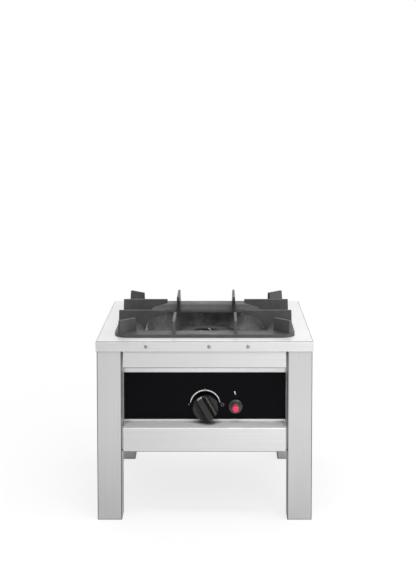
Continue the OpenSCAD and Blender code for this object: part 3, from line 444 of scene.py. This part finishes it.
def panel_steel(s):
    sheet = BrushedSheet("panel_steel", s.panel, ALONG_X, s, s.panel_reach, BROAD_FOLD)
    return sheet.brush(s.panel_roughness)


def polished_steel(name, colour):
    """Bright drawn sheet with soft waves and a few burnished patches."""
    finish = Finish(name)
    waves = finish.noise(size=0.09, detail=1.0)
    marks = finish.noise(size=0.05, detail=2.0, stretch=(1, 1, 2))
    finish.set(
        Base_Color=finish.tint(waves, colour, shade=0.88),
        Metallic=1.0,
        Roughness=finish.spread(marks, low=0.18, high=0.3),
        Normal=finish.bump(waves, depth=0.0012, strength=0.6),
    )
    return finish.material


def plated_steel(name, colour, roughness):
    """Zinc plate with a fine mottled bloom."""
    finish = Finish(name)
    bloom = finish.noise(size=0.0035, detail=3.0)
    finish.set(
        Base_Color=finish.tint(bloom, colour, shade=0.8),
        Metallic=1.0,
        Roughness=finish.spread(bloom, roughness - 0.06, roughness + 0.1),
        Normal=finish.bump(bloom, depth=0.0001, strength=0.25),
    )
    return finish.material


def coloured_metal(name, colour, shade, roughness):
    """Brass or copper, turned and a little tarnished."""
    finish = Finish(name)
    tarnish = finish.noise(size=0.011, detail=4.0)
    turning = finish.noise(size=0.0008)
    finish.set(
        Base_Color=finish.tint(tarnish, colour, shade),
        Metallic=1.0,
        Roughness=finish.spread(tarnish, roughness + 0.12, roughness),
        Normal=finish.bump(turning, depth=0.00004, strength=0.3),
    )
    return finish.material


def cast_iron(name, colour, edge, roughness, specular=0.5):
    """Sand-cast surface: coarse skin, broad unevenness and softened edges."""
    finish = Finish(name)
    skin = finish.noise(size=0.0013, detail=4.0)
    patches = finish.noise(size=0.03, detail=3.0)
    finish.set(
        Base_Color=finish.tint(patches, colour, shade=0.72),
        Roughness=finish.spread(patches, roughness + 0.08, roughness - 0.06),
        Specular_IOR_Level=specular,
        Normal=finish.bump(skin, depth=0.00025, strength=0.5, edge=edge),
    )
    return finish.material


def moulded_plastic(name, colour, roughness, edge=0.0):
    """Moulded plastic with a fine spark texture."""
    finish = Finish(name)
    spark = finish.noise(size=0.0007, detail=2.0)
    patches = finish.noise(size=0.012, detail=2.0)
    finish.set(
        Base_Color=finish.tint(patches, colour, shade=0.85),
        Roughness=finish.spread(patches, roughness - 0.04, roughness + 0.06),
        Normal=finish.bump(spark, depth=0.00006, strength=0.35, edge=edge),
    )
    return finish.material


def glossy_coat(name, colour, roughness, specular):
    """Glossy enamel or glazed ceramic with the slightest waviness."""
    finish = Finish(name)
    waves = finish.noise(size=0.05, detail=1.0)
    dust = finish.noise(size=0.004, detail=3.0)
    finish.set(
        Base_Color=finish.tint(dust, colour, shade=0.9),
        Roughness=finish.spread(dust, roughness, roughness + 0.05),
        Specular_IOR_Level=specular,
        Normal=finish.bump(waves, depth=0.0001, strength=0.3),
    )
    return finish.material


def print_ink(name, colour):
    return glossy_coat(name, colour, roughness=0.4, specular=0.3)


def spun_chrome(name, colour):
    """Plated turned metal, whose highlights fan out from its middle."""
    finish = Finish(name)
    haze = finish.noise(size=0.02, detail=1.0)
    round_grain = finish.add("ShaderNodeTangent", direction_type="RADIAL", axis="Y")
    finish.set(
        Base_Color=finish.tint(haze, colour, shade=0.9),
        Metallic=1.0,
        Roughness=finish.spread(haze, low=0.3, high=0.36),
        Anisotropic=0.8,
        Anisotropic_Rotation=0.25,
        Tangent=round_grain.outputs["Tangent"],
    )
    return finish.material


def button_with_painted_highlight(name, colour, highlight_colour, centre, radius):
    """Red plastic, deep red in the middle and paler towards its edge by a painted highlight."""
    finish = Finish(name)
    dust = finish.noise(size=0.004, detail=3.0)
    offset = finish.vector("SUBTRACT", finish.place, centre)
    out = finish.length(finish.vector("MULTIPLY", offset, (1.0, 0.0, 1.0)))
    # Painted highlight, paler towards the edge
    painted_highlight = finish.ramp(out, 0.0, 1.0, start=0.2 * radius, end=0.8 * radius)
    finish.set(
        Base_Color=finish.mix(painted_highlight, (*colour, 1), (*highlight_colour, 1)),
        Roughness=finish.spread(dust, low=0.2, high=0.26),
        Specular_IOR_Level=0.5,
        Normal=finish.bump(dust, depth=0.00002, strength=0.2),
    )
    return finish.material


def paint(nodes, material):
    """Gives CAD nodes a material in place of what the import gave them."""
    for name in nodes:
        data = frame["nodes"][name].data
        data.materials.clear()
        data.materials.append(material)


def mesh_piece(name, points, faces, material, body):
    """A new piece from points and faces, riding on a body."""
    data = bpy.data.meshes.new(name)
    data.from_pydata(points, [], faces)
    work = bmesh.new()
    work.from_mesh(data)
    bmesh.ops.recalc_face_normals(work, faces=work.faces)
    work.to_mesh(data)
    work.free()
    data.materials.append(material)
    piece = bpy.data.objects.new(name, data)
    bpy.context.scene.collection.objects.link(piece)
    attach(piece, body)
    return piece


def printed_band(name, inner, outer, back, thickness, material, closed=False):
    """A flat print between two rows of points (x, z), standing on the plane y = back."""
    front = back - thickness
    count = len(inner)
    points = [(x, y, z) for y in (front, back + SINK) for row in (inner, outer) for x, z in row]
    faces = []
    for i in range(count if closed else count - 1):
        j = (i + 1) % count
        corners = [i, j, count + j, count + i]
        faces.append(corners)
        faces.append([2 * count + c for c in corners])
        faces.append([i, j, 2 * count + j, 2 * count + i])
        faces.append([count + i, count + j, 3 * count + j, 3 * count + i])
    if not closed:
        for i in (0, count - 1):
            faces.append([i, count + i, 3 * count + i, 2 * count + i])
    return mesh_piece(name, points, faces, material, STOVE)


def shrunk(outline, middle, share):
    """The outline at a share of its size round the middle."""
    return [[m + (v - m) * share for m, v in zip(middle, p)] for p in outline]


def printed_patch(name, outline, back, thickness, material):
    """A flat print inside an outline of points (x, z)."""
    middle = [sum(p[a] for p in outline) / len(outline) for a in (0, 1)]
    inner = shrunk(outline, middle, PATCH_HOLE)
    piece = printed_band(name, inner, outline, back, thickness, material, closed=True)
    work = bmesh.new()
    work.from_mesh(piece.data)
    bmesh.ops.holes_fill(work, edges=[e for e in work.edges if e.is_boundary])
    work.to_mesh(piece.data)
    work.free()
    return piece


def round_point(centre, radius, angle):
    return centre[0] + radius * math.cos(angle), centre[1] + radius * math.sin(angle)


def beside(place, offset):
    return place[0] + offset[0], place[1] + offset[1]


def circle_points(centre, radius, count=32):
    return [round_point(centre, radius, 2 * math.pi * i / count) for i in range(count)]


def knob_centre():
    """Where the knob's axis meets the front, as (x, z)."""
    joint = next(j for j in frame["joints"] if j["name"] == "knob_turn")
    return joint["pos_m"][0], joint["pos_m"][2]


class STOVE_OT_finish_sheets(Operator):
    """Brush the top, legs, rails and panels, and polish the burner well"""

    bl_idname = "stove.finish_sheets"
    bl_label = "Finish the sheet steel"

    def execute(self, context):
        s = context.scene.stove_sheet
        paint(WORKTOP, worktop_steel(s))
        paint(LEGS, leg_steel(s))
        paint(CASING, casing_steel(s))
        paint(SIDES, side_steel(s))
        paint(["control_panel"], panel_steel(s))
        paint(["burner_well"], polished_steel("well_steel", s.well))
        return {"FINISHED"}


class STOVE_OT_finish_castings(Operator):
    """Give the burner, its crowns and the pan support their cast skin"""

    bl_idname = "stove.finish_castings"
    bl_label = "Finish the castings"

    def execute(self, context):
        s = context.scene.stove_casting
        paint(["burner_body"], cast_iron("burner_iron", s.burner, s.edge, roughness=0.62))
        # The crowns' slots are too fine for the full edge
        crowns = cast_iron("crown_iron", s.crown, s.edge / 3, roughness=0.5, specular=0.2)
        paint(CROWNS, crowns)
        paint(["pan_support"], cast_iron("support_iron", s.support, s.edge, roughness=0.46))
        return {"FINISHED"}


class STOVE_OT_finish_gas_line(Operator):
    """Finish the tap, pipes, injector, electrode and thermocouple"""

    bl_idname = "stove.finish_gas_line"
    bl_label = "Finish the gas line"

    def execute(self, context):
        s = context.scene.stove_fitting
        paint(PLATED, plated_steel("zinc_plate", s.zinc, roughness=0.32))
        paint(BRASS, coloured_metal("brass", s.brass, shade=0.75, roughness=0.24))
        paint(COPPER, coloured_metal("copper", s.copper, shade=0.7, roughness=0.28))
        ceramic = glossy_coat("ceramic", s.ceramic, roughness=0.15, specular=0.5)
        paint(["spark_electrode"], ceramic)
        paint(["ignition_lead"], moulded_plastic("lead_sleeve", s.sleeve, roughness=0.5))
        return {"FINISHED"}


class STOVE_OT_finish_fasteners(Operator):
    """Finish the casing screws and the plugs in the legs"""

    bl_idname = "stove.finish_fasteners"
    bl_label = "Finish the fasteners"

    def execute(self, context):
        s = context.scene.stove_fitting
        paint(SCREWS, plated_steel("screw_steel", s.screws, roughness=0.28))
        plastic = moulded_plastic("plug_plastic", s.plugs, roughness=0.5, edge=s.plug_edge)
        paint(["leg_plugs"], plastic)
        return {"FINISHED"}


class STOVE_OT_finish_controls(Operator):
    """Finish the fascia, the knob and the igniter"""

    bl_idname = "stove.finish_controls"
    bl_label = "Finish the controls"

    def execute(self, context):
        s = context.scene.stove_control
        gloss = glossy_coat("fascia_gloss", s.fascia, roughness=0.12, specular=0.06)
        paint(["fascia"], gloss)
        paint(["knob"], moulded_plastic("knob_plastic", s.knob, roughness=0.24))
        paint(["igniter_barrel", "igniter_bezel"], spun_chrome("bezel_chrome", s.bezel))
        low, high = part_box("igniter_button")
        red = button_with_painted_highlight(
            "button_red", s.button, s.button_highlight, (low + high) / 2, (high.x - low.x) / 2
        )
        paint(["igniter_button"], red)
        return {"FINISHED"}


class STOVE_OT_print_scale(Operator):
    """Print the knob's scale on the fascia: an arc from a dot to a ring, with a mark at full"""

    bl_idname = "stove.print_scale"
    bl_label = "Print the scale"

    # The arc's middle from the knob's axis
    OFF_AXIS = (-0.001, 0.003)
    # Each side of the arc goes up from its first angle, in degrees
    FIRST_ANGLE, SWEEP, STEPS = 9, 76, 40
    # The line widens on its way up, from a share of its width
    NARROW, WIDENING, HEAD_START = 0.35, 2.2, 0.1
    # The mark at full: its half width, what lies below and above the arc, and where its hole is
    FULL_HALF, FULL_FOOT, FULL_RISE = 0.0036, 0.0018, 0.0042
    FULL_MIDDLE, FULL_HOLE = -0.0002, 0.5
    # The dot and the ring, from the arc's middle
    LOW_PLACE, LOW_RADIUS = (-0.0445, 0.0020), 0.0020
    OFF_PLACE, OFF_INNER, OFF_OUTER = (0.0472, 0.0012), 0.0033, 0.0046

    def execute(self, context):
        s = context.scene.stove_control
        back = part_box("fascia")[0].y
        centre = beside(knob_centre(), self.OFF_AXIS)
        white = print_ink("print_white", s.print_white)
        grey = print_ink("print_grey", s.print_grey)
        for side, name in ((1, "scale_right"), (-1, "scale_left")):
            inner, outer = self.arc_rows(s, centre, side)
            printed_band(name, inner, outer, back, s.print_thickness, white)
        self.print_full(s, centre, back, white)
        self.print_ends(s, centre, back, grey)
        return {"FINISHED"}

    def arc_rows(self, s, centre, side):
        """Both edges of the arc's line on one side, from its foot up."""
        inner, outer = [], []
        for i in range(self.STEPS + 1):
            t = i / self.STEPS
            angle = math.radians(self.FIRST_ANGLE + t * self.SWEEP)
            wide = min(1, self.WIDENING * t + self.HEAD_START)
            half = s.scale_width / 2 * (self.NARROW + (1 - self.NARROW) * wide)
            for row, radius in ((inner, s.scale_radius - half), (outer, s.scale_radius + half)):
                row.append(
                    (
                        centre[0] + side * radius * math.cos(angle),
                        centre[1] + radius * math.sin(angle),
                    )
                )
        return inner, outer

    def print_full(self, s, centre, back, ink):
        """The small triangle on top of the arc."""
        top = centre[0], centre[1] + s.scale_radius
        corners = (
            (-self.FULL_HALF, -self.FULL_FOOT), (self.FULL_HALF, -self.FULL_FOOT),
            (0, self.FULL_RISE),
        )
        outline = [beside(top, corner) for corner in corners]
        inner = shrunk(outline, beside(top, (0, self.FULL_MIDDLE)), self.FULL_HOLE)
        printed_band("mark_full", inner, outline, back, s.print_thickness, ink, closed=True)

    def print_ends(self, s, centre, back, ink):
        """The dot at the low end of the arc and the ring at its off end."""
        dot = circle_points(beside(centre, self.LOW_PLACE), self.LOW_RADIUS)
        printed_patch("mark_low", dot, back, s.print_thickness, ink)
        off = beside(centre, self.OFF_PLACE)
        inner, outer = circle_points(off, self.OFF_INNER), circle_points(off, self.OFF_OUTER)
        printed_band("mark_off", inner, outer, back, s.print_thickness, ink, closed=True)


class STOVE_OT_paint_grip_highlight(Operator):
    """Set a pale patch into the end of the knob's grip: a painted highlight where that wall catches the
    light
    """

    bl_idname = "stove.mark_pointer"
    bl_label = "Mark the pointer"

    ROWS, COLUMNS = 7, 13
    # Direction of the grip's upper end, in degrees up from the right
    ANGLE = 120
    # The grip stands on the skirt, this far in front of the knob's back
    SKIRT = 0.016
    # Its end wall starts this far inside the rim, and leans inwards by this much for its height
    BEVEL, DRAFT = 0.0015, 0.001 / 0.018
    # The painted highlight starts this far in front of the skirt
    GAP = 0.0012

    def execute(self, context):
        s = context.scene.stove_control
        low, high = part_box("knob")
        end = (high.x - low.x) / 2 - self.BEVEL
        face = high.y - self.SKIRT
        points = self.layer(s, end, face, s.print_thickness) + self.layer(s, end, face, -SINK)
        size = self.ROWS * self.COLUMNS
        faces = [[base + c for c in cell] for base in (0, size) for cell in self.cells()]
        border = self.border()
        for a, b in zip(border, border[1:] + border[:1]):
            faces.append([a, b, size + b, size + a])
        # Pale grey of the painted highlight
        ink = glossy_coat("pointer_grey", s.pointer, roughness=0.35, specular=0.4)
        mesh_piece("pointer", points, faces, ink, KNOB)
        return {"FINISHED"}

    def layer(self, s, end, face, lift):
        """A grid of points along the grip's end wall, raised by lift."""
        centre = knob_centre()
        middle = math.radians(self.ANGLE)
        spread = s.pointer_width / end / 2
        points = []
        for i in range(self.ROWS):
            depth = self.GAP + i / (self.ROWS - 1) * s.pointer_depth
            radius = end - self.DRAFT * depth + lift
            for j in range(self.COLUMNS):
                angle = middle + spread * (2 * j / (self.COLUMNS - 1) - 1)
                x, z = round_point(centre, radius, angle)
                points.append((x, face - depth, z))
        return points

    def cells(self):
        """The corners of each cell of one layer's grid."""
        wide = self.COLUMNS
        starts = [i * wide + j for i in range(self.ROWS - 1) for j in range(wide - 1)]
        return [[a, a + 1, a + wide + 1, a + wide] for a in starts]

    def border(self):
        """The points round the edge of one layer, in order."""
        rows, wide = self.ROWS, self.COLUMNS
        border = [*range(wide - 1)]
        border += [i * wide + wide - 1 for i in range(rows - 1)]
        border += [(rows - 1) * wide + j for j in range(wide - 1, 0, -1)]
        border += [i * wide for i in range(rows - 1, 0, -1)]
        return border


class STOVE_OT_print_flame(Operator):
    """Print the flame mark above the igniter"""

    bl_idname = "stove.print_flame"
    bl_label = "Print the flame mark"

    POINTS = 36
    # The mark's middle from the button's
    PLACE = (-0.0014, 0.0363)
    # How far the flame's tip leans to the left, in degrees
    LEAN = 14
    # Shares of the height: the half width, how much it grows upwards, and the half height
    HALF_WIDTH, SWELL, HALF_HEIGHT = 0.13, 0.03, 0.5
    # Pulls the sides in, so that both ends come to a point
    SHARPNESS = 1.4

    def execute(self, context):
        s = context.scene.stove_control
        low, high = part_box("igniter_button")
        cx, cz = beside(((low.x + high.x) / 2, (low.z + high.z) / 2), self.PLACE)
        lean = math.radians(self.LEAN)
        outline = []
        for i in range(self.POINTS):
            turn = 2 * math.pi * i / self.POINTS
            along = math.cos(turn)
            wide = self.HALF_WIDTH + self.SWELL * along
            across = math.copysign(abs(math.sin(turn)) ** self.SHARPNESS, math.sin(turn)) * wide
            x, z = across * s.flame_height, self.HALF_HEIGHT * along * s.flame_height
            outline.append(
                (
                    cx + x * math.cos(lean) - z * math.sin(lean),
                    cz + x * math.sin(lean) + z * math.cos(lean),
                )
            )
        white = print_ink("flame_white", s.print_white)
        printed_patch("flame_mark", outline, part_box("fascia")[0].y, s.print_thickness, white)
        return {"FINISHED"}


class STOVE_OT_set_stage(Operator):
    """Lay the pale floor, light it softly and place the camera"""

    bl_idname = "stove.set_stage"
    bl_label = "Set the stage"

    Lamp = namedtuple("Lamp", "name place aim size power")
    LAMPS = (
        Lamp("key", (1.1, -2.6, 2.0), (0, 0, 0.35), (1.8, 1.8), 24),
        Lamp("fill", (2.4, -0.7, 0.7), (0, 0, 0.3), (0.6, 1.6), 16),
        Lamp("over", (0.2, -1.15, 2.7), (0, 0, 0.45), (2.4, 0.45), 18),
    )

    # Glow of the floor for the camera, by the distance from the middle
    GLOW_FAR = Ramp(0.74, 1.0, 0.5, 1.5)
    # Glow that the sheet mirrors, by the distance from the middle: under the stove, and beside it
    GLOW_UNDER = Ramp(0.06, 0.8, 0.28, 0.34)
    GLOW_BESIDE = Ramp(0.85, 1.0, 0.3, 1.3)
    # Strength of the glow that is mirrored, from the left to the middle
    GLOW_LEFT = Ramp(0.62, 1.0, -0.45, 0.0)

    # Brightness of the sky by the components of its direction
    SKY_REAR = Ramp(0.2, 1.0, 0.1, 0.7)
    SKY_FRONT = Ramp(0.12, 0.0, -0.9, -0.3)
    SKY_OVER = Ramp(0.0, 0.78, 0.25, 0.85)
    SKY_RIGHT = Ramp(0.0, 0.05, -0.6, 0.6)

    # Width of the camera's sensor in millimetres
    SENSOR_WIDTH = 36

    def execute(self, context):
        s = context.scene.stove_stage
        self.lay_floor(s)
        self.light_world(context.scene)
        self.hang_lamps(context.scene)
        self.place_camera(context.scene, s)
        context.scene.view_settings.view_transform = "Standard"
        return {"FINISHED"}

    def lay_floor(self, s):
        """A pale floor that keeps the stove's shadow and that the sheet mirrors brightly."""
        finish = Finish("floor")
        tone = finish.noise(size=1.5, detail=1.0)
        finish.set(
            Base_Color=finish.tint(tone, s.floor, shade=0.99),
            Roughness=0.9,
            Specular_IOR_Level=0.1,
        )
        path = finish.add("ShaderNodeLightPath").outputs
        away = finish.ramp(finish.length(finish.place), *self.GLOW_FAR)
        seen = finish.number("MULTIPLY", path["Is Camera Ray"], away)
        reach = finish.square_reach()
        under = finish.ramp(reach, *self.GLOW_UNDER)
        mirrored = finish.number("MULTIPLY", under, finish.ramp(reach, *self.GLOW_BESIDE))
        mirrored = finish.number("MULTIPLY", path["Is Glossy Ray"], mirrored)
        dim_left = finish.ramp(finish.split(finish.place)["X"], *self.GLOW_LEFT)
        strength = finish.number("MAXIMUM", dim_left, path["Is Camera Ray"])
        glow = finish.add("ShaderNodeEmission", {"Color": (1, 1, 1, 1), "Strength": strength})
        mixed = finish.add(
            "ShaderNodeMixShader",
            {
                0: finish.number("MAXIMUM", seen, mirrored),
                1: finish.shader.outputs[0],
                2: glow.outputs[0],
            },
        )
        finish.feed(finish.tree.nodes["Material Output"].inputs["Surface"], mixed.outputs[0])
        half = s.floor_size
        data = bpy.data.meshes.new("floor")
        data.from_pydata(
            [(-half, -half, 0), (half, -half, 0), (half, half, 0), (-half, half, 0)], [],
            [(0, 1, 2, 3)],
        )
        data.materials.append(finish.material)
        floor = bpy.data.objects.new("floor", data)
        bpy.context.scene.collection.objects.link(floor)

    def light_world(self, scene):
        """A soft sky, bright behind and overhead, which the camera sees as plain white."""
        world = bpy.data.worlds.new("studio")
        scene.world = world
        world.use_nodes = True
        sky = Nodes(world.node_tree)
        axes = sky.split(sky.add("ShaderNodeTexCoord").outputs["Generated"])
        rear = sky.ramp(axes["Y"], *self.SKY_REAR, "SMOOTHSTEP")
        front = sky.ramp(axes["Y"], *self.SKY_FRONT, "SMOOTHSTEP")
        over = sky.ramp(axes["Z"], *self.SKY_OVER, "SMOOTHSTEP")
        right = sky.ramp(axes["X"], *self.SKY_RIGHT, "SMOOTHSTEP")
        level = sky.number("ADD", sky.number("ADD", rear, front), sky.number("ADD", over, right))
        level = sky.number("MINIMUM", level, 1.0)
        seen = sky.add("ShaderNodeLightPath").outputs["Is Camera Ray"]
        lit = sky.number("MULTIPLY", level, sky.number("SUBTRACT", 1.0, seen))
        shine = sky.tree.nodes["Background"]
        sky.feed(shine.inputs["Strength"], sky.number("ADD", lit, seen))
        sky.feed(shine.inputs["Color"], (1, 1, 1, 1))

    def hang_lamps(self, scene):
        for lamp in self.LAMPS:
            data = bpy.data.lights.new(lamp.name, "AREA")
            data.shape = "RECTANGLE"
            data.size, data.size_y = lamp.size
            data.energy = lamp.power
            held = bpy.data.objects.new(lamp.name, data)
            held.location = lamp.place
            way = Vector(lamp.aim) - Vector(lamp.place)
            held.rotation_euler = way.to_track_quat("-Z", "Y").to_euler()
            scene.collection.objects.link(held)

    def place_camera(self, scene, s):
        data = bpy.data.cameras.new("camera")
        data.lens = s.lens
        data.sensor_width = self.SENSOR_WIDTH
        data.sensor_fit = "AUTO"
        data.shift_x = s.shift_x
        data.shift_y = s.shift_y
        camera = bpy.data.objects.new("camera", data)
        camera.location = (s.aside, -s.distance, s.height)
        camera.rotation_euler = (math.pi / 2 - s.pitch, 0, 0)
        scene.collection.objects.link(camera)
        scene.camera = camera


class STOVE_PT_tools(Panel):
    """Lists the stove's operators"""

    bl_idname = "STOVE_PT_tools"
    bl_label = "Stockpot stove"
    bl_space_type = "VIEW_3D"
    bl_region_type = "UI"
    bl_category = "Stove"

    def draw(self, context):
        for operator in OPERATORS:
            self.layout.operator(operator.bl_idname)
        for group in SETTINGS:
            settings = getattr(context.scene, group)
            box = self.layout.box()
            for name in settings.__annotations__:
                box.prop(settings, name)


OPERATORS = (
    STOVE_OT_finish_sheets,
    STOVE_OT_finish_castings,
    STOVE_OT_finish_gas_line,
    STOVE_OT_finish_fasteners,
    STOVE_OT_finish_controls,
    STOVE_OT_print_scale,
    STOVE_OT_paint_grip_highlight,
    STOVE_OT_print_flame,
    STOVE_OT_set_stage,
)
SETTINGS = {
    "stove_sheet": SheetSettings,
    "stove_casting": CastingSettings,
    "stove_control": ControlSettings,
    "stove_fitting": FittingSettings,
    "stove_stage": StageSettings,
}


def register():
    for cls in (*SETTINGS.values(), *OPERATORS, STOVE_PT_tools):
        bpy.utils.register_class(cls)
    for name, group in SETTINGS.items():
        setattr(bpy.types.Scene, name, PointerProperty(type=group))


def unregister():
    for name in SETTINGS:
        delattr(bpy.types.Scene, name)
    for cls in reversed((*SETTINGS.values(), *OPERATORS, STOVE_PT_tools)):
        bpy.utils.unregister_class(cls)


def main():
    register()
    bpy.ops.stove.finish_sheets()
    bpy.ops.stove.finish_castings()
    bpy.ops.stove.finish_gas_line()
    bpy.ops.stove.finish_fasteners()
    bpy.ops.stove.finish_controls()
    bpy.ops.stove.print_scale()
    bpy.ops.stove.mark_pointer()
    bpy.ops.stove.print_flame()
    bpy.ops.stove.set_stage()


if __name__ == "__main__":
    main()
